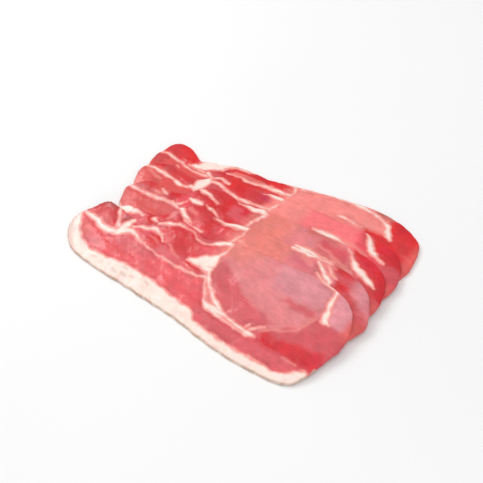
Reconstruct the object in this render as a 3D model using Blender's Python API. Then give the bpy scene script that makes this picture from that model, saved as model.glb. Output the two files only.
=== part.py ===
"""Five middle bacon rashers laid in a shingled stack.

Each rasher is one closed slab of even thickness: a straight tail at -X, a round loin eye at +X, and a rind
edge that faces -Y. The hindmost rasher lies flat on the table. Every other one lies over the rashers behind
it, rises over their front edges, and comes back down to the table at its own rind. The origin is at the
middle of the footprint, on the table.
"""

import bmesh
import bpy
import numpy as np
from mathutils import Vector
from mathutils.geometry import interpolate_bezier

MM = 0.001  # every size below is in millimetres

# Driving dimensions of one rasher
SLICE_THICKNESS = 2.8
LAYER_GAP = 0.3
TAIL_WIDTH = 52.0
BELLY_WIDTH = 76.0
EYE_WIDTH = 95.0
BELLY_X = -44.0  # the middle of the streaky belly, along X
EYE_X = 84.0  # the widest place of the loin eye, along X
CORNER = 25.0  # how far the rind's corners take to turn
RIND_BOW = 1.5  # how far the rind's middle pulls in behind its two ends

# One row for each rasher, from the top of the stack down: its rind's place along Y, its two ends along X,
# and how much wider than the driving size its tail, belly and eye are.
RASHERS = {
    "rasher_1": dict(rind_y=-92.5, tail_x=-130.0, loin_x=128.5, tail=0.5, belly=0.0, eye=0.5),
    "rasher_2": dict(rind_y=-69.0, tail_x=-112.5, loin_x=129.5, tail=-11.0, belly=-2.0, eye=-1.5),
    "rasher_3": dict(rind_y=-45.0, tail_x=-114.5, loin_x=129.0, tail=-3.5, belly=1.5, eye=-0.5),
    "rasher_4": dict(rind_y=-20.5, tail_x=-120.0, loin_x=129.0, tail=-2.5, belly=-1.5, eye=-1.0),
    "rasher_5": dict(rind_y=3.5, tail_x=-124.0, loin_x=127.5, tail=2.0, belly=-10.0, eye=3.5),
}

CELL_X, CELL_Y = 10.0, 6.0  # the facets of the sheet that every slab is cut from
SHEET_X, SHEET_Y = 150.0, 120.0  # half of the sheet's length and depth
RAMP = 9.0  # how far a rasher takes to come down in front of the one under it
OUTLINE_STEPS = 6  # points on each stretch of outline between two of its knots
PRISM_LOW, PRISM_HIGH = -10.0, 60.0  # the span in height of what cuts a slab out of its sheet

COLOURS = {"meat": (0.62, 0.14, 0.14, 1.0)}


def clear_scene():
    for obj in list(bpy.data.objects):
        bpy.data.objects.remove(obj)


def knots(size):
    """The outline's knots, anticlockwise from the rind's tail end."""
    left, right, rind = size["tail_x"], size["loin_x"], size["rind_y"]
    tail = rind + TAIL_WIDTH + size["tail"]
    belly = rind + BELLY_WIDTH + size["belly"]
    eye = rind + EYE_WIDTH + size["eye"]
    rise = belly - tail
    return [
        (left + CORNER, rind),
        (left / 3, rind + RIND_BOW),
        (right / 3, rind),
        (right - 1.25 * CORNER, rind + 1.5),
        (right - 0.62 * CORNER, rind + 0.28 * CORNER),
        (right - 0.4 * CORNER, rind + 0.75 * CORNER),
        (right - 4.0, rind + 1.5 * CORNER),
        (right, rind + 0.63 * EYE_WIDTH),
        (right - 8.0, eye - 13.0),
        (right - 21.0, eye - 3.5),
        (EYE_X, eye),
        (EYE_X - 26.0, eye - 3.0),
        (EYE_X - 60.0, eye - 0.4 * (eye - belly)),
        (BELLY_X + 36.0, belly + 0.25 * (eye - belly)),
        (BELLY_X + 20.0, belly + 0.1 * (eye - belly) - 3.0),
        (BELLY_X, belly),
        (BELLY_X - 15.0, belly - 0.25 * rise),
        (BELLY_X - 28.0, tail + 0.15 * rise),
        (BELLY_X - 46.0, tail + 1.0),
        (left + 0.55 * CORNER, tail),
        (left + 0.2 * CORNER, tail - 0.35 * CORNER),
        (left, rind + 0.55 * TAIL_WIDTH),
        (left + 0.28 * CORNER, rind + 0.4 * CORNER),
    ]


def outline(size):
    """The rasher's outline: one closed smooth curve through its knots, as an array of points."""
    ring = [Vector((x, y, 0.0)) for x, y in knots(size)]
    points = []
    for i, start in enumerate(ring):
        before, end, after = ring[i - 1], ring[(i + 1) % len(ring)], ring[(i + 2) % len(ring)]
        reach = (end - start).length / 3
        leave = start + (end - before).normalized() * reach
        arrive = end - (after - start).normalized() * reach
        points += interpolate_bezier(start, leave, arrive, end, OUTLINE_STEPS + 1)[:-1]
    return np.array([(p.x, p.y) for p in points])


def distance_inside(points, ring):
    """How far each point lies inside the closed ring, negative outside."""
    start, end = ring, np.roll(ring, -1, axis=0)
    side = end - start
    to_point = points[:, None, :] - start[None]
    along = np.clip((to_point * side).sum(2) / (side * side).sum(1), 0, 1)
    nearest = to_point - along[..., None] * side
    distance = np.sqrt((nearest * nearest).sum(2)).min(1)
    spans = (start[:, 1] > points[:, 1, None]) != (end[:, 1] > points[:, 1, None])
    slope = side[:, 0] / np.where(side[:, 1] == 0, 1e-9, side[:, 1])
    crossing = start[:, 0] + (points[:, 1, None] - start[:, 1]) * slope
    inside = (spans & (crossing > points[:, 0, None])).sum(1) % 2 == 1
    return np.where(inside, distance, -distance)


def step_up(points, ring):
    """How far a rasher with this outline lifts what lies over it, at each of the sheet's points.

    The lift is whole at every point with a neighbour inside the outline, so that it is whole on every facet
    that the rasher reaches, and then eases away to nothing.
    """
    ease = np.clip(1 + (distance_inside(points, ring) + CELL_Y) / RAMP, 0, 1)
    for offset_x in (-CELL_X, 0, CELL_X):
        for offset_y in (-CELL_Y, 0, CELL_Y):
            ease[distance_inside(points + (offset_x, offset_y), ring) > 0] = 1
    return (SLICE_THICKNESS + LAYER_GAP) * ease * ease * (3 - 2 * ease)


def sheet(name, lift):
    """A closed slab over the whole sheet, whose underside is at the given lift at each of its points."""
    columns, rows = int(2 * SHEET_X / CELL_X), int(2 * SHEET_Y / CELL_Y)
    bm = bmesh.new()
    bmesh.ops.create_grid(bm, x_segments=columns, y_segments=rows, size=1.0)
    bm.verts.ensure_lookup_table()
    points = np.array([(v.co.x * SHEET_X, v.co.y * SHEET_Y) for v in bm.verts])
    for vert, point, height in zip(bm.verts, points, lift(points)):
        vert.co = Vector((point[0], point[1], height)) * MM
    bmesh.ops.triangulate(bm, faces=bm.faces[:], quad_method="FIXED")
    grown = bmesh.ops.extrude_face_region(bm, geom=bm.faces[:])["geom"]
    top = [v for v in grown if isinstance(v, bmesh.types.BMVert)]
    bmesh.ops.translate(bm, verts=top, vec=(0, 0, SLICE_THICKNESS * MM))
    bmesh.ops.recalc_face_normals(bm, faces=bm.faces[:])
    return as_object(name, bm)


def cutter(name, ring):
    """A tall prism on the rasher's outline, which cuts it out of its sheet."""
    bm = bmesh.new()
    base = bm.faces.new([bm.verts.new((x * MM, y * MM, PRISM_LOW * MM)) for x, y in ring])
    grown = bmesh.ops.extrude_face_region(bm, geom=[base])["geom"]
    top = [v for v in grown if isinstance(v, bmesh.types.BMVert)]
    bmesh.ops.translate(bm, verts=top, vec=(0, 0, (PRISM_HIGH - PRISM_LOW) * MM))
    bmesh.ops.recalc_face_normals(bm, faces=bm.faces[:])
    prism = as_object(name, bm)
    prism.hide_render = True
    prism.display_type = "WIRE"
    return prism


def as_object(name, bm):
    """The finished bmesh as an object of the scene."""
    mesh = bpy.data.meshes.new(name)
    bm.to_mesh(mesh)
    bm.free()
    obj = bpy.data.objects.new(name, mesh)
    bpy.context.scene.collection.objects.link(obj)
    return obj


def material(name):
    made = bpy.data.materials.new(name)
    made.use_nodes = True
    shader = made.node_tree.nodes["Principled BSDF"]
    shader.inputs["Base Color"].default_value = COLOURS[name]
    shader.inputs["Roughness"].default_value = 0.4
    shader.inputs["Metallic"].default_value = 0.0
    return made


def main():
    """Lay the rashers' outlines out round the origin, and cut each rasher from a sheet draped over the rest."""
    clear_scene()
    meat = material("meat")
    rings = {name: outline(size) for name, size in RASHERS.items()}
    every = np.concatenate(list(rings.values()))
    middle = (every.min(0) + every.max(0)) / 2
    rings = {name: ring - middle for name, ring in rings.items()}
    names = list(RASHERS)
    for place, name in enumerate(names):
        under = [rings[other] for other in names[place + 1 :]]

        def lift(points, under=under):
            return sum((step_up(points, ring) for ring in under), np.zeros(len(points)))

        slab = sheet(name, lift)
        slab.data.materials.append(meat)
        cut = slab.modifiers.new("outline", "BOOLEAN")
        cut.operation = "INTERSECT"
        cut.object = cutter(name + "_outline", rings[name])


main()
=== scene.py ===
"""Raw middle bacon rashers in a shingled stack: the look of every rasher, and a pale studio round them."""

import math

import bmesh
import bpy
import numpy as np
from bpy.props import FloatProperty, FloatVectorProperty, IntProperty, PointerProperty
from mathutils import Matrix, Vector
from mathutils.bvhtree import BVHTree


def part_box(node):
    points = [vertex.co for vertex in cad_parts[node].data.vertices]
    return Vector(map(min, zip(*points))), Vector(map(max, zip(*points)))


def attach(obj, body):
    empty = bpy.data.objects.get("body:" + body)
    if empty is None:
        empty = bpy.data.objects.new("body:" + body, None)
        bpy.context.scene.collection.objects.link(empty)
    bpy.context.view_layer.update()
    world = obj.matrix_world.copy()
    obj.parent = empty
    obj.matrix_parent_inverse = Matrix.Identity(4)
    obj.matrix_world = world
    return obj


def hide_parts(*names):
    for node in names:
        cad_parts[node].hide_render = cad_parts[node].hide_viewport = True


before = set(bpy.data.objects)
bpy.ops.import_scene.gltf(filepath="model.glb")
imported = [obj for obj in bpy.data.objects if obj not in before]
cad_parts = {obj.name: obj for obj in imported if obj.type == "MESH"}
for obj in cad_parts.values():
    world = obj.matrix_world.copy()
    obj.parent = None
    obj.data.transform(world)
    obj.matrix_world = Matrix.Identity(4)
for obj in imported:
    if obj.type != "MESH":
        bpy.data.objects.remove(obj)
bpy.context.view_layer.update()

bl_info = {
    "name": "Bacon Rashers",
    "version": (1, 0, 0),
    "blender": (4, 5, 0),
    "location": "View3D > Sidebar > Bacon",
    "description": "Dresses a shingled stack of raw bacon rashers and sets it on a pale studio floor",
    "category": "Object",
}

MM = 0.001
RASHERS = sorted(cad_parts)  # from the top of the stack down

# ---------------------------------------------------------------------------------------------------------
# The cut: every place below is in millimetres, x along the rasher and y back from its rind.
# A seam is a run of (x, y, half width). A muscle is a tone and the outline of the meat that has it, and
# later muscles lie over earlier ones. A few muscles hold painted shade instead of meat.
# ---------------------------------------------------------------------------------------------------------

# Fat that runs through every rasher the same way, because they are slices of one joint of meat
FAT_CAP = [
    (-113, 4, 12.0), (-100, 0, 11.0), (-85, 0, 11.5), (-72, 0, 13.5), (-60, 0, 16.5), (-45, 0, 17.0),
    (-30, 0, 17.0), (-15, 0, 15.5), (-5, 0, 14.5),
    (5, 0, 15.0), (10, 0, 13.0), (17, 0, 9.5), (25, 0, 8.0), (40, 0, 7.8), (65, 0, 8.0), (80, 0, 9.0),
    (95, 0, 9.5), (104, 1, 10.0), (110, 7, 7.5), (114, 14, 6.0), (117, 21, 3.0),
]
LOIN_SEAM = [(0, 52, 2.8), (4, 45, 2.4), (9, 40.5, 2.0), (16, 35, 2.0), (23, 30.5, 2.6), (31, 27, 2.4),
             (40, 24.5, 2.2), (52, 23.5, 2.2), (62, 23.5, 3.2), (68, 23.5, 1.2)]
LOIN_SEAM_STRAND = [(2, 44, 1.2), (8, 35, 1.1), (14, 27, 1.3), (19, 23, 2.6), (28, 22.5, 2.4),
                    (44, 21, 1.4),
                    (62, 21, 1.2)]
LOIN_SEAM_FORKS = [[(60, 26, 1.6), (64, 31, 1.2), (69, 36, 0.6)], [(56, 26, 1.2), (58, 31, 0.5)],
                   [(14, 26, 1.4), (19, 24.5, 2.8), (26, 25, 3.4), (34, 25, 2.4)]]
BELLY_SEAM = [(-72, 42, 1.9), (-64, 39.5, 1.3), (-54, 38.5, 1.0), (-40, 38, 0.9), (-28, 38.2, 1.0),
              (-14, 39.5, 1.0), (-4, 41, 1.4), (2, 44, 1.6)]
COMMON_FAT = [FAT_CAP, LOIN_SEAM, LOIN_SEAM_STRAND, *LOIN_SEAM_FORKS, BELLY_SEAM]

# Fat that is each rasher's own
OWN_FAT = {
    "rasher_1": [
        [(-131, 37, 4.0), (-130, 26, 8.0), (-124, 14, 10.0), (-113, 4, 12.0)],
        [(-129, 38, 1.8), (-119, 37.5, 2.4), (-110, 35.5, 2.8), (-103, 33, 3.0), (-95, 32.5, 2.8),
         (-89, 35.5, 3.0),
         (-84, 40, 4.4), (-78, 43, 3.2), (-72, 42, 1.9)],
        [(-86, 40, 3.6), (-85, 47, 3.6), (-83, 53, 1.8)],
        [(-91, 41, 1.8), (-95, 46, 1.6), (-100, 52, 2.2), (-103, 56, 1.4)],
        [(-80, 48, 1.6), (-70, 53, 2.2), (-61, 56.5, 2.4), (-55, 55, 1.8), (-50, 51.5, 0.8)],
        [(-64, 62, 1.4), (-57, 67, 2.3), (-49, 71, 1.8), (-41, 73, 1.1), (-33, 73, 0.8), (-27, 70.5, 0.9),
         (-19, 71.5, 1.2), (-12, 74.5, 2.0), (-6, 78.5, 3.6), (-1, 82, 2.8)],
        [(-20, 50, 2.0), (-14, 52.5, 4.4), (-8, 56, 6.2), (-3, 59, 6.0), (-1, 66, 2.6), (1, 73, 1.3),
         (1, 80, 1.6)],
        [(-22, 48.5, 0.7), (-14, 49.5, 2.2), (-6, 50.5, 3.4), (0, 51, 3.4)],
        [(98, 94, 2.6), (99, 86, 2.4), (101, 78, 2.8), (103, 71, 3.6), (104.5, 67, 3.8), (109, 65.5, 1.6)],
        [(44, 92.5, 0.8), (56, 94.5, 1.0), (72, 96, 1.2), (88, 95.5, 1.4), (98, 94, 1.8)],
    ],
    "rasher_2": [
        [(-114, 31, 2.6), (-106, 35, 4.0), (-98, 37.5, 4.4), (-90, 39, 2.8), (-83, 39, 1.2)],
        [(-64, 66, 1.8), (-57, 62, 2.8), (-51, 59, 2.8), (-45, 57.5, 1.4)],
        [(-50, 56, 1.4), (-40, 54, 1.2), (-30, 55, 0.9)],
        [(-28, 72, 0.9), (-20, 73, 1.8), (-13, 75, 3.0), (-7, 77, 3.8), (-1, 79, 3.2)],
        [(0, 80, 1.6), (0, 72, 1.6), (-2, 65, 2.2), (-4, 60, 2.0)],
        [(42, 88, 2.2), (50, 89.5, 4.0), (60, 91, 3.4), (70, 92.5, 2.2), (80, 94, 0.9)],
        [(65, 90, 1.2), (71, 86, 2.4), (75, 82, 2.2), (81, 79, 3.0), (86, 76, 2.8), (88, 71, 1.6)],
        [(72, 78, 0.9), (78, 76, 1.6), (84, 73, 1.4)],
        [(76, 90, 0.9), (82, 85, 1.3), (90, 82, 0.8)],
    ],
    "rasher_3": [
        [(-116, 34.5, 2.0), (-105, 35, 1.8), (-95, 36, 1.6), (-85, 38, 1.6), (-76, 40, 1.5),
         (-69, 40.5, 1.8)],
        [(-69, 40.5, 1.6), (-65, 44, 1.6), (-62, 49, 1.0)],
        [(-62, 54, 1.6), (-57, 54, 3.0), (-51, 55, 2.6)],
        [(-46, 57, 1.0), (-41, 55.5, 2.0), (-34, 54, 1.4), (-29, 52, 0.9)],
        [(-88, 48, 1.1), (-84, 46, 1.5), (-81, 45, 0.9)],
        [(-66, 69, 1.6), (-58, 67.5, 2.6), (-50, 66.5, 2.2), (-44, 65, 1.4), (-39, 63, 0.7)],
        [(-26, 76.5, 0.8), (-18, 77, 2.2), (-11, 78.5, 3.4), (-4, 80.5, 3.6), (1, 81, 2.6)],
        [(1, 82, 1.8), (0, 75, 2.0), (-3, 67, 1.6), (-5, 58, 1.5)],
        [(41, 68, 2.0), (48, 69, 3.2), (57, 70, 2.8), (66, 71.5, 1.4), (76, 73, 0.7)],
        [(77, 94, 0.8), (83, 89, 1.3), (88, 84.5, 2.0), (93, 80, 3.4), (101, 77, 3.8), (109, 75, 3.2),
         (117, 71, 1.4)],
    ],
    "rasher_4": [
        [(-121, 36, 1.4), (-112, 38.5, 1.8), (-100, 40, 1.8), (-90, 39.5, 2.0), (-82, 38.5, 2.2),
         (-74, 39.5, 1.8),
         (-70, 42, 2.4)],
        [(-68, 45, 4.4), (-67, 50, 6.2), (-66, 55, 5.4), (-65, 61, 1.8)],
        [(-64, 63, 1.4), (-57, 66, 2.2), (-48, 65, 1.8)],
        [(-62, 58, 1.8), (-54, 60, 1.6), (-44, 58, 1.5), (-32, 56.5, 2.0), (-26, 57, 2.4), (-19, 59, 1.6),
         (-11, 61, 1.5), (-3, 63.5, 1.6)],
        [(-24, 75.5, 1.0), (-16, 77, 2.0), (-8, 78.5, 2.8), (0, 80, 2.8)],
        [(4, 80, 1.4), (1, 72, 1.6), (-2, 62, 1.6)],
        [(41, 69.5, 1.8), (48, 71, 3.2), (57, 72, 2.9), (66, 72.5, 1.4), (80, 74, 0.7)],
        [(80, 94, 1.2), (85, 89, 2.4), (89, 84, 3.2), (93, 80, 3.6), (99, 77, 2.4), (108, 74.5, 1.2)],
    ],
    "rasher_5": [
        [(-124, 37, 1.4), (-110, 37.5, 1.6), (-96, 37, 1.6), (-86, 36.5, 1.5), (-78, 37, 1.7),
         (-71, 39, 1.8)],
        [(-90, 43, 1.2), (-84, 47, 4.8), (-79, 50, 7.4), (-72, 52.5, 6.4), (-66, 56, 4.0), (-61, 61, 2.0),
         (-50, 64.5, 1.4), (-38, 66, 1.0)],
        [(-92, 41, 1.0), (-84, 41.5, 1.4), (-75, 41, 1.4)],
        [(-58, 54, 1.0), (-48, 55, 1.5), (-38, 55.5, 1.4), (-30, 56, 1.2), (-21, 59, 1.8),
         (-11, 62, 2.4), (0, 64.5, 2.4)],
        [(-10, 74.5, 1.0), (0, 76, 2.0), (3, 70, 1.6), (1, 62, 1.6)],
        [(6, 78, 1.2), (20, 84.5, 2.0), (34, 89, 2.2), (50, 93, 2.6), (64, 94, 2.6), (76, 93.5, 1.8)],
        [(48, 73, 1.4), (58, 74.5, 1.8), (70, 74, 1.1)],
        [(76, 94, 1.6), (84, 91, 2.6), (90, 86, 3.6), (94, 80.5, 3.6), (98, 77, 1.6)],
        [(-100, 32, 1.3), (-97, 31, 1.2)],
    ],
}

# Thin skins between muscles, which only tint the meat
VEILS = {
    "rasher_1": [
        [(98, 64, 1.6), (95, 55, 1.2), (91, 47, 1.1), (83, 40, 1.0), (73, 35, 1.1), (67, 31, 1.4)],
        [(96, 22, 0.8), (108, 22.5, 1.2)],
        [(5, 41, 1.6), (12, 33, 2.4), (20, 28, 2.8)],
        [(-44, 51, 0.9), (-36, 47.5, 1.5), (-29, 45, 1.0)],
        [(-62, 49, 0.8), (-52, 47, 1.0)],
        [(-22, 45, 0.7), (-10, 42, 0.8)],
    ],
    "rasher_2": [
        [(48, 85, 2.0), (56, 84, 2.4), (64, 82, 2.0)],
        [(70, 88, 2.4), (82, 90, 2.0)],
        [(-62, 48, 1.4), (-60, 58, 1.6)],
        [(-56, 70, 1.8), (-46, 66, 1.4)],
        [(-30, 72, 1.4), (-18, 71, 1.6)],
    ],
    "rasher_3": [
        [(56, 80, 1.8), (66, 79, 1.8), (78, 75, 1.6), (92, 73, 1.8)],
        [(-90, 42, 1.6), (-84, 45, 2.0)],
    ],
    "rasher_4": [
        [(-112, 34, 2.0), (-100, 33, 1.4)],
        [(60, 74, 1.2), (76, 76, 1.4), (92, 73, 1.6)],
        [(-62, 60, 2.0), (-50, 60, 1.4)],
    ],
    "rasher_5": [
        [(-52, 57, 2.4), (-38, 58, 2.6), (-24, 59, 2.0)],
        [(4, 68, 1.6), (8, 76, 1.6)],
        [(60, 76, 1.8), (86, 82, 1.6)],
    ],
}

MUSCLES = {
    "rasher_1": [
        ("outer", [(-131, 12), (-131, 37), (-94, 30), (-70, 40), (0, 40), (14, 23), (14, 8)]),
        ("outer_dull", [(-104, 30), (-90, 33), (-72, 39), (-40, 36), (-44, 32), (-84, 27)]),
        ("outer_warm", [(-126, 24), (-120, 32), (-110, 30), (-104, 18), (-112, 14)]),
        ("outer_dull", [(-114, 12), (-110, 22), (-92, 24), (-86, 12)]),
        ("belly", [(-78, 44), (-74, 56), (-54, 52), (-22, 48), (-2, 48), (-4, 41), (-40, 39)]),
        ("belly_dark", [(-58, 50), (-56, 64), (-44, 72), (-24, 69), (-12, 71), (-16, 58), (-24, 50),
                        (-40, 47)]),
        ("belly_deep", [(-52, 54), (-50, 64), (-40, 68), (-26, 66), (-28, 56), (-40, 52)]),
        ("red_pink", [(-16, 60), (-20, 70), (-10, 72), (-5, 68), (-6, 62)]),
        # Painted shade along the far edge
        ("brown", [(-78, 56), (-74, 66), (-64, 68), (-66, 60)]),
        ("belly_dark", [(-22, 43), (-20, 47), (-2, 48), (0, 45), (-6, 42)]),
        ("belly_dark", [(-64, 43), (-62, 51), (-52, 50), (-50, 42)]),
        ("tail_dark", [(-130, 39), (-126, 54), (-100, 58), (-93, 44), (-96, 36), (-112, 39)]),
        ("belly_deep", [(-121, 40), (-118, 48), (-101, 49), (-96, 41)]),
        # Painted shade along the far edge of the tail
        ("brown", [(-130, 46), (-122, 58), (-104, 58), (-108, 51), (-120, 48)]),
        ("brown", [(-92, 44), (-93, 56), (-88, 56), (-88, 46)]),
        ("eye", [(-3, 44), (-3, 64), (-1, 94), (60, 106), (103, 104), (101, 64), (93, 44), (66, 24),
                 (34, 23), (9, 37)]),
        ("eye_deep", [(0, 46), (4, 66), (22, 58), (44, 46), (72, 42), (66, 25), (36, 25), (10, 38)]),
        ("eye_warm", [(-6, 66), (-6, 98), (34, 104), (30, 86), (16, 72)]),
        ("eye_cool", [(50, 70), (44, 98), (98, 102), (97, 72), (76, 66)]),
        ("eye_deep", [(66, 62), (68, 66), (94, 69), (97, 64), (84, 61)]),
        ("loin_dark", [(66, 31), (92, 47), (98, 63), (112, 68), (132, 68), (128, 22), (68, 20)]),
        ("loin_blood", [(70, 25), (72, 33), (84, 33), (100, 38), (122, 40), (119, 24), (96, 22), (72, 20)]),
        ("crimson", [(114, 24), (114, 40), (122, 44), (124, 28)]),
        ("eye_deep", [(92, 48), (97, 62), (106, 62), (106, 50)]),
        ("lilac", [(102, 66), (101, 102), (134, 94), (134, 66)]),
        ("outer_warm", [(121, 62), (121, 90), (136, 88), (136, 60)]),
        ("strip", [(10, 6), (16, 21), (66, 20), (108, 23), (110, 6)]),
    ],
    "rasher_2": [
        ("belly_dark", [(-66, 40), (-64, 82), (-12, 82), (0, 68), (-4, 44)]),
        ("belly_deep", [(-46, 56), (-44, 68), (-24, 72), (-22, 56)]),
        ("belly", [(-72, 44), (-70, 62), (-58, 60), (-54, 48)]),
        ("red", [(-72, 42), (-68, 54), (-62, 54), (-64, 42)]),
        ("crimson", [(-20, 60), (-22, 72), (-4, 76), (-3, 60)]),
        ("belly_deep", [(-84, 34), (-82, 44), (-72, 46), (-66, 40), (-74, 32)]),
        ("red_pink", [(-90, 30), (-92, 36), (-80, 38), (-78, 30)]),
        ("eye", [(-4, 40), (-4, 92), (40, 102), (78, 104), (94, 70), (80, 40)]),
        ("eye_warm", [(-8, 40), (-8, 94), (38, 104), (48, 40)]),
        ("crimson_pale", [(46, 74), (48, 85), (66, 86), (72, 78), (64, 72)]),
        ("lilac_dull", [(66, 72), (64, 92), (82, 92), (92, 78), (86, 70)]),
        ("loin_dark", [(80, 88), (76, 102), (106, 102), (106, 86), (92, 84)]),
        ("belly_dark", [(82, 88), (82, 95), (100, 95), (102, 90)]),
        ("loin_dark", [(88, 66), (90, 82), (104, 86), (112, 72), (130, 60), (132, 40), (90, 40)]),
        ("belly_deep", [(92, 74), (92, 81), (102, 82), (106, 74)]),
        ("lilac_dull", [(104, 74), (100, 100), (136, 98), (134, 60), (120, 68)]),
        ("eye_cool", [(108, 76), (106, 90), (120, 88), (122, 72)]),
        # A thin dark line of painted shade across the loin end, in the dark tail muscle's tone
        ("tail_dark", [(104, 76), (114, 71), (126, 58), (124, 54), (112, 66), (102, 71)]),
        ("outer_warm", [(120, 40), (120, 58), (134, 60), (134, 40)]),
    ],
    "rasher_3": [
        ("outer_deep", [(-120, 12), (-120, 34), (-70, 40), (-62, 20)]),
        ("tail_dark", [(-122, 35), (-116, 54), (-92, 56), (-86, 38)]),
        ("belly_deep", [(-110, 40), (-108, 47), (-96, 48), (-94, 41)]),
        ("outer_warm", [(-92, 42), (-92, 50), (-82, 50), (-82, 42)]),
        ("belly_deep", [(-80, 40), (-80, 56), (-68, 56), (-67, 42)]),
        ("red_pink", [(-70, 38), (-68, 58), (-60, 62), (-56, 46)]),
        ("belly_dark", [(-60, 50), (-66, 84), (-2, 86), (-4, 50)]),
        ("belly_deep", [(-42, 56), (-46, 74), (-30, 76), (-28, 56)]),
        ("belly", [(-26, 58), (-26, 70), (-6, 74), (-5, 58)]),
        ("crimson", [(-18, 66), (-18, 76), (-6, 77), (-5, 66)]),
        ("eye", [(-4, 40), (-4, 99), (80, 104), (94, 80), (98, 60)]),
        ("eye_warm", [(-8, 40), (-8, 99), (26, 104), (36, 40)]),
        ("strip", [(56, 76), (54, 88), (78, 90), (86, 80), (84, 74)]),
        # Painted shade along the far edge of this rasher's eye, and along the edge of the rasher over it
        ("edge_shade", [(40, 86), (38, 96), (70, 98), (68, 89)]),
        ("edge_shade", [(56, 72), (60, 76), (90, 76), (88, 71)]),
        ("red", [(84, 90), (78, 102), (134, 102), (134, 56), (114, 74), (98, 80)]),
        ("crimson", [(92, 84), (90, 98), (110, 98), (110, 82)]),
        ("loin_blood", [(112, 78), (112, 98), (136, 92), (132, 60), (120, 62)]),
        ("tail_dark", [(100, 60), (102, 71), (118, 70), (122, 58)]),
        ("outer_warm", [(119, 40), (120, 58), (136, 62), (136, 40)]),
    ],
    "rasher_4": [
        ("outer_deep", [(-126, 12), (-126, 36), (-104, 40), (-70, 40), (-62, 20)]),
        ("outer_warm", [(-126, 20), (-126, 36), (-112, 36), (-108, 24)]),
        ("tail_dark", [(-126, 38), (-116, 56), (-72, 58), (-70, 43), (-90, 40)]),
        ("belly_dark", [(-100, 42), (-100, 50), (-76, 50), (-78, 42)]),
        ("belly_deep", [(-118, 42), (-116, 52), (-104, 52), (-104, 42)]),
        ("red", [(-62, 58), (-62, 84), (-26, 86), (-24, 60)]),
        ("belly_dark", [(-30, 56), (-32, 84), (-2, 86), (0, 60)]),
        ("crimson_deep", [(-18, 67), (-19, 78), (-3, 81), (-3, 68)]),
        ("salmon_pink", [(-6, 40), (-6, 99), (70, 106), (84, 98), (92, 74), (84, 40)]),
        ("salmon", [(-6, 40), (-6, 99), (24, 102), (32, 40)]),
        ("red_pink", [(78, 74), (74, 98), (86, 97), (92, 78), (110, 74), (100, 66)]),
        ("red", [(90, 86), (84, 102), (104, 102), (104, 76), (94, 80)]),
        ("loin_blood", [(98, 78), (98, 102), (136, 94), (130, 72), (112, 72)]),
        ("crimson", [(96, 84), (98, 94), (108, 94), (108, 84)]),
        ("loin_dark", [(108, 72), (116, 76), (136, 70), (134, 50), (118, 58)]),
        ("outer_warm", [(119, 40), (120, 56), (136, 62), (136, 40)]),
    ],
    "rasher_5": [
        ("outer_deep", [(-130, 12), (-130, 37), (-72, 36), (-62, 24)]),
        ("tail_dark", [(-132, 22), (-132, 34), (-112, 34), (-110, 22)]),
        ("red", [(-130, 38), (-126, 62), (-92, 60), (-84, 42)]),
        ("belly_dark", [(-120, 42), (-118, 50), (-98, 50), (-96, 42)]),
        ("red", [(-66, 46), (-68, 64), (-20, 76), (0, 80), (0, 62), (-30, 50)]),
        ("crimson", [(-67, 48), (-67, 62), (-56, 62), (-54, 50)]),
        ("belly_deep", [(-40, 58), (-36, 68), (-20, 70), (-22, 60)]),
        ("salmon", [(-3, 40), (-3, 94), (50, 106), (88, 100), (93, 80), (86, 58)]),
        ("red", [(92, 84), (84, 104), (124, 102), (124, 70), (100, 74)]),
        ("loin_blood", [(98, 88), (92, 104), (110, 102), (108, 90)]),
        ("outer_warm", [(119, 84), (117, 50), (134, 44), (134, 80)]),
        ("red", [(72, 66), (74, 76), (100, 78), (118, 66), (118, 54)]),
        ("belly_dark", [(96, 74), (98, 84), (114, 84), (116, 70)]),
        # Painted shade along the eye's far edge
        ("edge_shade", [(72, 94), (72, 102), (92, 102), (90, 95)]),
    ],
}

# Marks on the fat: greyish specks, and the darker layer next to the skin
STAINS = {
    "rasher_1": [
        [(-67, 6, 1.0), (-63, 6.5, 0.8)], [(-58, 7.5, 1.6), (-54, 8, 1.2)], [(-60, 13, 0.8),
         (-57, 13, 0.8)],
        [(-36, 12, 1.0), (-33, 12, 0.8)], [(-90, 6, 0.8), (-86, 7, 0.8)], [(-50, 10, 0.8), (-47, 10, 0.8)],
        [(-132, 40, 3.0), (-131, 26, 3.5), (-126, 14, 4.0), (-117, 4, 4.0), (-105, -1, 3.0),
         (-90, -2, 1.5)],
        [(-122, 30, 0.8), (-117, 20, 1.0), (-109, 13, 0.8)],
    ],
}

# Where a rasher's own outline leaves the common one: (x, y, shift in x, shift in y, reach in x, reach in y)
PULLS = {
    "rasher_1": [(52, 0, 0, -3.2, 38, 7), (-45, 0, 0, -2.2, 40, 7), (-20, 74, 0, -3.0, 9, 14),
                 (-112, 54, 0, 3.0, 16, 10), (-131, 24, -1.6, 0, 10, 20), (120, 20, 1.4, 0, 8, 14)],
    "rasher_2": [(129, 62, 2.8, 0, 8, 14)],
    "rasher_3": [(-114, 32, -2.6, 1.0, 10, 14)],
    "rasher_4": [(-119, 38, -2.8, 1.4, 10, 14)],
    "rasher_5": [(-86, 52, 0, -6.0, 7, 12), (-116, 50, -1.6, 2.2, 12, 10), (-95, 54, 0, -1.4, 7, 10),
                 (-24, 66, 0, 2.8, 16, 12), (-58, 58, 0, -1.0, 10, 10), (122, 86, 1.4, 0.8, 12, 20)],
}


# ---------------------------------------------------------------------------------------------------------
# Sizes and colours that a user would change
# ---------------------------------------------------------------------------------------------------------


def linear(red, green, blue):
    """An 8-bit sRGB colour as the linear colour that shaders take."""
    channels = []
    for value in (red / 255, green / 255, blue / 255):
        channels.append(value / 12.92 if value <= 0.04045 else ((value + 0.055) / 1.055) ** 2.4)
    return tuple(channels)


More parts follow.
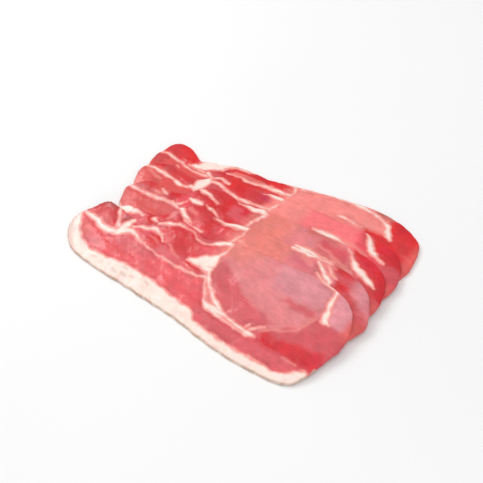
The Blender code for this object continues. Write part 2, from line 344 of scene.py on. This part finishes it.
def tone(name, red, green, blue):
    return FloatVectorProperty(
        name=name, description=f"Colour of the {name.lower()}", subtype="COLOR", min=0.0, max=1.0,
        default=linear(red, green, blue),
    )


def length(name, description, default):
    return FloatProperty(name=name, description=description, default=default, unit="LENGTH", min=0.0)


class BaconTones(bpy.types.PropertyGroup):
    """Colours of the meat and of the fat, and of the painted shade."""

    base: tone("Common lean", 222, 86, 92)
    eye: tone("Loin eye", 230, 130, 133)
    eye_deep: tone("Loin eye by the seam", 216, 90, 97)
    eye_warm: tone("Warm side of the loin eye", 236, 130, 120)
    eye_cool: tone("Cool side of the loin eye", 222, 138, 145)
    salmon: tone("Salmon loin eye", 250, 142, 136)
    salmon_pink: tone("Pink loin eye", 248, 120, 124)
    lilac: tone("Lilac muscle at the loin end", 230, 144, 154)
    lilac_dull: tone("Dull lilac muscle", 222, 122, 128)
    outer: tone("Outer belly muscle", 231, 86, 92)
    outer_dull: tone("Dull outer belly muscle", 219, 90, 96)
    outer_deep: tone("Deep outer belly muscle", 222, 84, 82)
    outer_warm: tone("Warm outer belly muscle", 226, 94, 90)
    strip: tone("Strip under the eye", 220, 88, 96)
    belly: tone("Belly lean", 224, 88, 96)
    belly_dark: tone("Dark belly muscle", 214, 50, 56)
    belly_deep: tone("Deepest belly muscle", 212, 34, 42)
    # Dark tail muscle, and also the thin line of painted shade on the second rasher's loin end
    tail_dark: tone("Dark tail muscle", 206, 66, 68)
    loin_dark: tone("Muscle beside the eye", 214, 82, 90)
    loin_blood: tone("Deep red edge of the loin", 211, 30, 42)
    red: tone("Bright red meat", 222, 40, 44)
    red_pink: tone("Pink-red meat", 232, 82, 92)
    crimson: tone("Crimson meat", 222, 36, 56)
    crimson_deep: tone("Deep crimson meat", 208, 52, 78)
    crimson_pale: tone("Crimson tint", 226, 112, 122)
    # Painted shade: brown along the top rasher's far edge, and beside the fat seams
    brown: tone("Browned meat", 178, 66, 62)
    # Painted shade along the far edges of the loin eyes
    edge_shade: tone("Dusky meat", 206, 108, 102)
    cream: tone("Fat", 252, 229, 218)
    blush: tone("Fat's edge", 246, 150, 142)
    stain: tone("Stained fat", 216, 176, 166)
    rind: tone("Rind", 206, 170, 148)


class BaconSizes(bpy.types.PropertyGroup):
    """Sizes of the rashers' surfaces."""

    grain: length("Grain", "Distance between neighbouring points of a rasher's surface", 0.75 * MM)
    thickness: length("Thickness", "Thickness of one slice", 2.8 * MM)
    step: length("Step", "Rise from one rasher to the next", 3.1 * MM)
    drape: length("Drape", "How far a rasher takes to come down in front of the one under it", 24.0 * MM)
    lumps: length("Lumps", "Height of the meat's soft unevenness", 0.5 * MM)
    seed: IntProperty(name="Seed", description="Which unevenness the rashers get", default=7)


# ---------------------------------------------------------------------------------------------------------
# Fields over the rashers, in millimetres
# ---------------------------------------------------------------------------------------------------------


WAVES = 9
FAR = 50.0  # deeper outside a seam than any place that matters


def smooth_step(low, high, value):
    t = np.clip((value - low) / (high - low), 0, 1)
    return t * t * (3 - 2 * t)


def ripple(points, wavelength, seed):
    """A soft unevenness, mostly from -1 to 1, made of waves that cross in many directions."""
    rng = np.random.default_rng(seed)
    total = np.zeros(len(points))
    for _ in range(WAVES):
        angle = rng.uniform(0, 2 * math.pi)
        size = wavelength * rng.uniform(0.7, 1.5)
        phase = rng.uniform(0, 2 * math.pi)
        along = points[:, 0] * math.cos(angle) + points[:, 1] * math.sin(angle)
        total += np.sin(2 * math.pi * along / size + phase)
    return total / (WAVES / math.sqrt(2))


def seam_depth(points, seam):
    """How deep each point lies inside a seam, negative outside it."""
    depth = np.full(len(points), -FAR)
    for (x0, y0, w0), (x1, y1, w1) in zip(seam, seam[1:]):
        side = np.array((x1 - x0, y1 - y0), float)
        to_point = points - (x0, y0)
        along = np.clip(to_point @ side / (side @ side), 0, 1)
        gap = np.hypot(*(to_point - along[:, None] * side).T)
        depth = np.maximum(depth, w0 + (w1 - w0) * along - gap)
    return depth


def deepest(points, seams):
    """How deep each point lies inside the nearest of the seams, negative outside all of them."""
    depth = np.full(len(points), -FAR)
    for seam in seams:
        depth = np.maximum(depth, seam_depth(points, seam))
    return depth


def inside(points, ring):
    """How far each point lies inside a closed ring, negative outside it."""
    start = np.asarray(ring, float)
    side = np.roll(start, -1, axis=0) - start
    nearest = np.full(len(points), np.inf)
    crossings = np.zeros(len(points), int)
    for (x, y), (dx, dy) in zip(start, side):
        px, py = points[:, 0] - x, points[:, 1] - y
        along = np.clip((px * dx + py * dy) / (dx * dx + dy * dy), 0, 1)
        nearest = np.minimum(nearest, np.hypot(px - along * dx, py - along * dy))
        spans = (py < 0) != (py - dy < 0)
        crossings += spans & (px < py * dx / (dy if dy else 1e-9))
    return np.where(crossings % 2 == 1, nearest, -nearest)


# ---------------------------------------------------------------------------------------------------------
# Rashers
# ---------------------------------------------------------------------------------------------------------


def choose(*objects):
    """Make these the only selected objects, the first of them active."""
    bpy.ops.object.select_all(action="DESELECT")
    for obj in objects:
        obj.select_set(True)
    bpy.context.view_layer.objects.active = objects[0]


def slab_of(node):
    """A merged copy of a node's slab, as an object of its own."""
    obj = bpy.data.objects.new(node + "_meat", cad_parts[node].data.copy())
    bpy.context.scene.collection.objects.link(obj)
    obj.data.materials.clear()
    choose(obj)
    bpy.ops.object.mode_set(mode="EDIT")
    bpy.ops.mesh.select_all(action="SELECT")
    bpy.ops.mesh.remove_doubles(threshold=0.01 * MM)
    bpy.ops.object.mode_set(mode="OBJECT")
    return obj


def outline_of(slab):
    """The slab's outline seen from above: the run of its top rim, in millimetres."""
    bm = bmesh.new()
    bm.from_mesh(slab.data)
    rim = [
        e for e in bm.edges
        if len(e.link_faces) == 2
        and max(f.normal.z for f in e.link_faces) > 0.5
        and abs(min((f.normal.z for f in e.link_faces), key=abs)) < 0.3
    ]
    ways = {}
    for edge in rim:
        a, b = edge.verts
        ways.setdefault(a, []).append(b)
        ways.setdefault(b, []).append(a)
    start = rim[0].verts[0]
    ring, last, here = [start], None, start
    while True:
        ahead = [v for v in ways[here] if v is not last]
        last, here = here, ahead[0]
        if here is start:
            break
        ring.append(here)
    points = np.array([(v.co.x, v.co.y) for v in ring]) / MM
    bm.free()
    return points


def fine_grain(slab, grain):
    """Give the slab a fine even mesh with a soft rim."""
    choose(slab)
    even = slab.modifiers.new("Even grain", "REMESH")
    even.mode = "VOXEL"
    even.voxel_size = grain
    bpy.ops.object.modifier_apply(modifier=even.name)
    soft = slab.modifiers.new("Soft rim", "SMOOTH")
    soft.factor = 0.5
    soft.iterations = 3
    bpy.ops.object.modifier_apply(modifier=soft.name)


def places(mesh):
    """A mesh's points in millimetres."""
    flat = np.empty(len(mesh.vertices) * 3)
    mesh.vertices.foreach_get("co", flat)
    return flat.reshape(-1, 3) / MM


BELOW_TABLE = -5.0


def underside(node, points):
    """The height of the frame's slab from the table, under each point."""
    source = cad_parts[node]
    tree = BVHTree.FromPolygons(
        [v.co / MM for v in source.data.vertices], [tuple(p.vertices) for p in source.data.polygons]
    )
    up = Vector((0, 0, 1))
    heights = np.empty(len(points))
    for i, (x, y) in enumerate(points):
        hit = tree.ray_cast(Vector((x, y, BELOW_TABLE)), up)[0] or tree.find_nearest(Vector((x, y, 0)))[0]
        heights[i] = hit.z
    return heights


LEVEL_EDGE = 1.0  # how far past another rasher's edge a rasher still lies level, in millimetres


def laid(points, under, sizes):
    """The height of a rasher's underside over the rashers under it."""
    layers = np.zeros(len(points))
    for ring in under:
        outside = -inside(points, ring)
        layers += 1 - smooth_step(LEVEL_EDGE, LEVEL_EDGE + sizes.drape / MM, outside)
    return layers * sizes.step / MM


# How far markings and edges stray from their outlines, in millimetres
MUSCLE_WANDER = 1.8
MUSCLE_RAGGED = 0.7
SEAM_WANDER = 0.7
EDGE_WANDER_X = 0.5
EDGE_WANDER_Y = 0.6

# How the surface swells, in millimetres: the lean between seams, the fat inside them, humps and dimples
LEAN_SWELL = 0.35
FAT_SWELL = 0.18
HUMPS = 0.12
DIMPLES = 0.08
SWELL_ROOM = 0.1  # taken off the slice's thickness, so that its swelling has room
LUMP_SEED = 3  # every rasher has the same lumps, because each follows the one under it

RIND_DEPTH = 30.0  # how far back from the front the rind runs, in millimetres

# How soft a tone's border is, in millimetres either side, where it isn't the usual one
USUAL_BORDER = 3.2
SOFT_BORDERS = {
    "eye": 6.0, "eye_warm": 9.0, "eye_cool": 7.0, "salmon": 6.0, "salmon_pink": 8.0, "lilac_dull": 5.0,
    "crimson_pale": 5.0, "outer_warm": 5.0, "outer_dull": 4.5, "strip": 4.5, "red_pink": 5.0, "edge_shade": 3.5,
}


def painted(local, node, tones, seed):
    """The lean's colour at each point, from the muscles' tones, painted shade among them."""
    wander = np.stack([ripple(local, 16, seed), ripple(local, 16, seed + 1)], 1)
    ragged = np.stack([ripple(local, 5, seed + 2), ripple(local, 5, seed + 3)], 1)
    spots = local + MUSCLE_WANDER * wander + MUSCLE_RAGGED * ragged
    colour = np.tile(np.array(tones.base), (len(local), 1))
    for name, ring in MUSCLES[node]:
        border = SOFT_BORDERS.get(name, USUAL_BORDER)
        share = smooth_step(-border, border, inside(spots, ring))[:, None]
        colour = colour * (1 - share) + np.array(getattr(tones, name)) * share
    return colour


def store(mesh, name, values):
    if values.ndim == 1:
        mesh.attributes.new(name, "FLOAT", "POINT").data.foreach_set("value", values.astype(np.float32))
    else:
        rgba = np.concatenate([values, np.ones((len(values), 1))], 1).astype(np.float32)
        mesh.attributes.new(name, "FLOAT_COLOR", "POINT").data.foreach_set("color", rgba.ravel())


def strayed(local, node, seed):
    """How far each point's place leaves the slab's own outline, in x and in y."""
    shift = np.zeros_like(local)
    for x, y, shift_x, shift_y, reach_x, reach_y in PULLS[node]:
        share = np.exp(-(((local[:, 0] - x) / reach_x) ** 2) - ((local[:, 1] - y) / reach_y) ** 2)
        shift += share[:, None] * (shift_x, shift_y)
    shift[:, 0] += EDGE_WANDER_X * ripple(local, 10, seed + 7)
    shift[:, 1] += EDGE_WANDER_Y * ripple(local, 12, seed + 8)
    return shift


def dress(obj, node, ring, under, bacon, tones, seed):
    """Drape a slab over the rashers under it, and mark its muscles, fat and rind."""
    mesh = obj.data
    co = places(mesh)
    thickness = bacon.thickness / MM
    level = np.clip((co[:, 2] - underside(node, co[:, :2])) / thickness, 0, 1)
    rim = inside(co[:, :2], ring)
    local = np.stack([co[:, 0], co[:, 1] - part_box(node)[0][1] / MM], 1)

    wander = np.stack([ripple(local, 9, seed + 2), ripple(local, 11, seed + 3)], 1)
    marks = local + SEAM_WANDER * wander
    fat = deepest(marks, COMMON_FAT + OWN_FAT[node])
    veil = smooth_step(-1.2, 1.0, deepest(marks, VEILS[node]))
    stain = smooth_step(-1.0, 1.0, deepest(marks, STAINS.get(node, [])))
    rind = smooth_step(-1.4, -0.5, -rim) * smooth_step(0.0, 0.6, RIND_DEPTH - local[:, 1])

    co[:, :2] += strayed(local, node, seed)
    lumps = bacon.lumps / MM * (1 + ripple(co[:, :2], 26, LUMP_SEED)) + HUMPS * ripple(co[:, :2], 8, seed + 5)
    base = laid(co[:, :2], under, bacon) + np.maximum(lumps, 0) * smooth_step(-4, 8, rim)
    relief = LEAN_SWELL * smooth_step(0.3, 4.5, -fat) + FAT_SWELL * smooth_step(0.2, 1.8, fat)
    relief += DIMPLES * ripple(local, 5, seed + 6)
    upper = np.maximum(2 * level - 1, 0)
    co[:, 2] = np.maximum(base + level * (thickness - SWELL_ROOM) + relief * upper, 0)
    mesh.vertices.foreach_set("co", (co * MM).ravel())
    mesh.update()

    store(mesh, "lean", painted(local, node, tones, seed + 9))
    store(mesh, "fat", fat)
    store(mesh, "veil", veil)
    store(mesh, "stain", stain)
    store(mesh, "rind", rind)


class BACON_OT_rashers(bpy.types.Operator):
    """Lay the rashers, each a soft slice with its muscles, fat seams and rind"""

    bl_idname = "bacon.rashers"
    bl_label = "Lay Rashers"

    def execute(self, context):
        bacon, tones = context.scene.bacon_sizes, context.scene.bacon_tones
        slabs = {node: slab_of(node) for node in RASHERS}
        outlines = {node: outline_of(slab) for node, slab in slabs.items()}
        coat = rasher_material(tones)
        for place, node in enumerate(RASHERS):
            slab = slabs[node]
            fine_grain(slab, bacon.grain)
            under = [outlines[other] for other in RASHERS[place + 1 :]]
            dress(slab, node, outlines[node], under, bacon, tones, bacon.seed + 20 * place)
            slab.data.materials.append(coat)
            choose(slab)
            bpy.ops.object.shade_smooth()
            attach(slab, "root")
            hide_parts(node)
        return {"FINISHED"}


# ---------------------------------------------------------------------------------------------------------
# Material
# ---------------------------------------------------------------------------------------------------------


class Nodes:
    """Short ways to add and join a material's nodes."""

    def __init__(self, name):
        self.material = bpy.data.materials.new(name)
        self.material.use_nodes = True
        self.tree = self.material.node_tree
        self.shader = self.tree.nodes["Principled BSDF"]
        self.where = self.add("ShaderNodeTexCoord").outputs["Object"]

    def add(self, kind, **settings):
        node = self.tree.nodes.new(kind)
        for name, value in settings.items():
            setattr(node, name, value)
        return node

    def feed(self, socket, value):
        if isinstance(value, bpy.types.NodeSocket):
            self.tree.links.new(value, socket)
        else:
            socket.default_value = value

    def attribute(self, name):
        node = self.add("ShaderNodeAttribute", attribute_name=name)
        return node.outputs["Color"] if name == "lean" else node.outputs["Fac"]

    def noise(self, size_mm, detail, stretch=(1, 1, 1), turn=0.0):
        """Soft noise whose blotches are about this size, from 0 to 1."""
        mapping = self.add("ShaderNodeMapping")
        self.feed(mapping.inputs["Vector"], self.where)
        mapping.inputs["Rotation"].default_value = (0, 0, turn)
        mapping.inputs["Scale"].default_value = stretch
        node = self.add("ShaderNodeTexNoise")
        self.feed(node.inputs["Vector"], mapping.outputs["Vector"])
        node.inputs["Scale"].default_value = 1 / (size_mm * MM)
        node.inputs["Detail"].default_value = detail
        return node.outputs["Fac"]

    def math(self, operation, a, b):
        node = self.add("ShaderNodeMath", operation=operation)
        self.feed(node.inputs[0], a)
        self.feed(node.inputs[1], b)
        return node.outputs["Value"]

    def ramp(self, value, low, high, to_low=0.0, to_high=1.0):
        node = self.add("ShaderNodeMapRange", interpolation_type="SMOOTHSTEP")
        for socket, given in zip(node.inputs, (value, low, high, to_low, to_high)):
            self.feed(socket, given)
        return node.outputs["Result"]

    def mix(self, share, a, b, blend="MIX"):
        node = self.add("ShaderNodeMix", data_type="RGBA", blend_type=blend)
        self.feed(node.inputs["Factor"], share)
        for socket, value in zip((node.inputs[6], node.inputs[7]), (a, b)):
            self.feed(socket, value if isinstance(value, bpy.types.NodeSocket) else (*value, 1.0))
        return node.outputs[2]


def rasher_material(tones):
    """Moist cured pork: mottled lean with painted shade by its seams, cream fat that blushes at its edges,
    and a tan rind.
    """
    n = Nodes("bacon")
    coarse, middle, fine = n.noise(14, 2), n.noise(6, 1), n.noise(1.3, 2)
    strands = n.noise(2.4, 2, stretch=(0.22, 1, 1), turn=math.radians(-12))
    feather = n.noise(4.6, 2, stretch=(0.6, 1, 1))

    lean = n.mix(1.0, n.attribute("lean"), n.ramp(coarse, 0.3, 0.7, 1.06, 0.91), "MULTIPLY")
    lean = n.mix(1.0, lean, n.ramp(middle, 0.3, 0.7, 0.97, 1.04), "MULTIPLY")
    lean = n.mix(1.0, lean, n.ramp(strands, 0.3, 0.7, 0.95, 1.05), "MULTIPLY")
    lean = n.mix(n.math("MULTIPLY", n.attribute("veil"), 0.5), lean, tones.blush)
    # Painted shade: the lean turns brown, in patches, 1.2 to 4 mm outside each fat seam, where it dips
    # towards the seam
    seam_shade = n.math("MULTIPLY", n.ramp(n.attribute("fat"), -4.0, -1.2), n.ramp(coarse, 0.4, 0.65, 0.0, 0.25))
    lean = n.mix(seam_shade, lean, tones.brown)

    ragged = n.math("ADD", n.attribute("fat"), n.ramp(feather, 0.3, 0.7, -0.55, 0.55))
    edge = n.ramp(ragged, -1.1, 0.7)
    fat = n.mix(n.ramp(ragged, 0.3, 2.7), tones.blush, tones.cream)
    fat = n.mix(n.ramp(middle, 0.5, 0.8, 0.0, 0.25), fat, tones.blush)
    fat = n.mix(n.math("MULTIPLY", n.attribute("stain"), 0.6), fat, tones.stain)
    colour = n.mix(edge, lean, fat)
    by_rind = n.math("MULTIPLY", n.attribute("rind"), n.ramp(middle, 0.3, 0.7, 0.35, 0.95))
    colour = n.mix(by_rind, colour, tones.rind)
    n.feed(n.shader.inputs["Base Color"], colour)

    wet = n.ramp(coarse, 0.35, 0.65, 0.24, 0.42)
    n.feed(n.shader.inputs["Roughness"], n.math("ADD", wet, n.ramp(feather, 0.3, 0.7, -0.05, 0.06)))
    n.shader.inputs["Specular IOR Level"].default_value = 0.45
    n.shader.inputs["Subsurface Weight"].default_value = 0.15
    n.shader.inputs["Subsurface Scale"].default_value = 2 * MM
    n.shader.inputs["Subsurface Radius"].default_value = (1.0, 0.35, 0.25)

    bump = n.add("ShaderNodeBump")
    bump.inputs["Strength"].default_value = 0.12
    bump.inputs["Distance"].default_value = 0.4 * MM
    n.feed(bump.inputs["Height"], n.math("ADD", strands, n.math("MULTIPLY", fine, 0.4)))
    n.feed(n.shader.inputs["Normal"], bump.outputs["Normal"])
    return n.material


# ---------------------------------------------------------------------------------------------------------
# Stage
# ---------------------------------------------------------------------------------------------------------

CAMERA_TURN = math.radians(38.0)
CAMERA_RISE = math.radians(53.0)
CAMERA_DISTANCE = 0.855
CAMERA_AIM = Vector((0.0164, -0.0244, 0.0076))
CAMERA_LENS = 77.0
CAMERA_SHIFT = 0.0476


def look_at(place, aim):
    """The placing of an object that stands at one point and faces another."""
    turn = (aim - place).to_track_quat("-Z", "Y")
    return Matrix.Translation(place) @ turn.to_matrix().to_4x4()


class BACON_OT_stage(bpy.types.Operator):
    """Set the pale floor, the soft lamps and the camera"""

    bl_idname = "bacon.stage"
    bl_label = "Set Stage"

    def execute(self, context):
        scene = context.scene
        bpy.ops.object.select_all(action="DESELECT")
        bpy.ops.mesh.primitive_plane_add(size=6.0, location=(0, 0, 0))
        floor = context.active_object
        floor.name = "floor"
        paper = Nodes("paper")
        shade = paper.ramp(paper.noise(400, 2), 0.3, 0.7)
        paint = paper.mix(shade, (0.93, 0.93, 0.93), (0.95, 0.95, 0.95))
        paper.feed(paper.shader.inputs["Base Color"], paint)
        paper.shader.inputs["Roughness"].default_value = 0.9
        paper.shader.inputs["Specular IOR Level"].default_value = 0.1
        floor.data.materials.append(paper.material)

        for name, place, size, power in (
            ("key", (-1.25, 0.1, 1.3), 0.9, 13.5),
            ("fill", (1.1, -0.9, 1.2), 1.6, 7.5),
            ("top", (0.1, 0.1, 1.9), 1.8, 9.0),
        ):
            lamp = bpy.data.lights.new(name, "AREA")
            lamp.size = size
            lamp.energy = power
            holder = bpy.data.objects.new(name, lamp)
            holder.matrix_world = look_at(Vector(place), Vector((0, 0, 0)))
            scene.collection.objects.link(holder)

        world = bpy.data.worlds.new("studio")
        world.use_nodes = True
        world.node_tree.nodes["Background"].inputs["Color"].default_value = (1, 1, 1, 1)
        world.node_tree.nodes["Background"].inputs["Strength"].default_value = 0.45
        scene.world = world

        turn, rise = CAMERA_TURN, CAMERA_RISE
        back = Vector((math.sin(turn) * math.cos(rise), -math.cos(turn) * math.cos(rise), math.sin(rise)))
        eye = bpy.data.cameras.new("camera")
        eye.lens = CAMERA_LENS
        eye.shift_y = CAMERA_SHIFT
        eye.clip_start = 0.01
        camera = bpy.data.objects.new("camera", eye)
        camera.matrix_world = look_at(CAMERA_AIM + back * CAMERA_DISTANCE, CAMERA_AIM)
        scene.collection.objects.link(camera)
        scene.camera = camera
        scene.view_settings.view_transform = "Standard"
        return {"FINISHED"}


# ---------------------------------------------------------------------------------------------------------
# Panel and registration
# ---------------------------------------------------------------------------------------------------------


class BACON_PT_panel(bpy.types.Panel):
    """Bacon rashers in the 3D view's sidebar"""

    bl_label = "Bacon Rashers"
    bl_idname = "BACON_PT_panel"
    bl_space_type = "VIEW_3D"
    bl_region_type = "UI"
    bl_category = "Bacon"

    def draw(self, context):
        layout = self.layout
        for operator in (BACON_OT_rashers, BACON_OT_stage):
            layout.operator(operator.bl_idname)
        for group in (context.scene.bacon_sizes, context.scene.bacon_tones):
            box = layout.box()
            for name in group.__annotations__:
                box.prop(group, name)


CLASSES = (BaconTones, BaconSizes, BACON_OT_rashers, BACON_OT_stage, BACON_PT_panel)


def register():
    for cls in CLASSES:
        bpy.utils.register_class(cls)
    bpy.types.Scene.bacon_tones = PointerProperty(type=BaconTones)
    bpy.types.Scene.bacon_sizes = PointerProperty(type=BaconSizes)


def unregister():
    del bpy.types.Scene.bacon_sizes
    del bpy.types.Scene.bacon_tones
    for cls in reversed(CLASSES):
        bpy.utils.unregister_class(cls)


def main():
    register()
    bpy.ops.bacon.rashers()
    bpy.ops.bacon.stage()


if __name__ == "__main__":
    main()
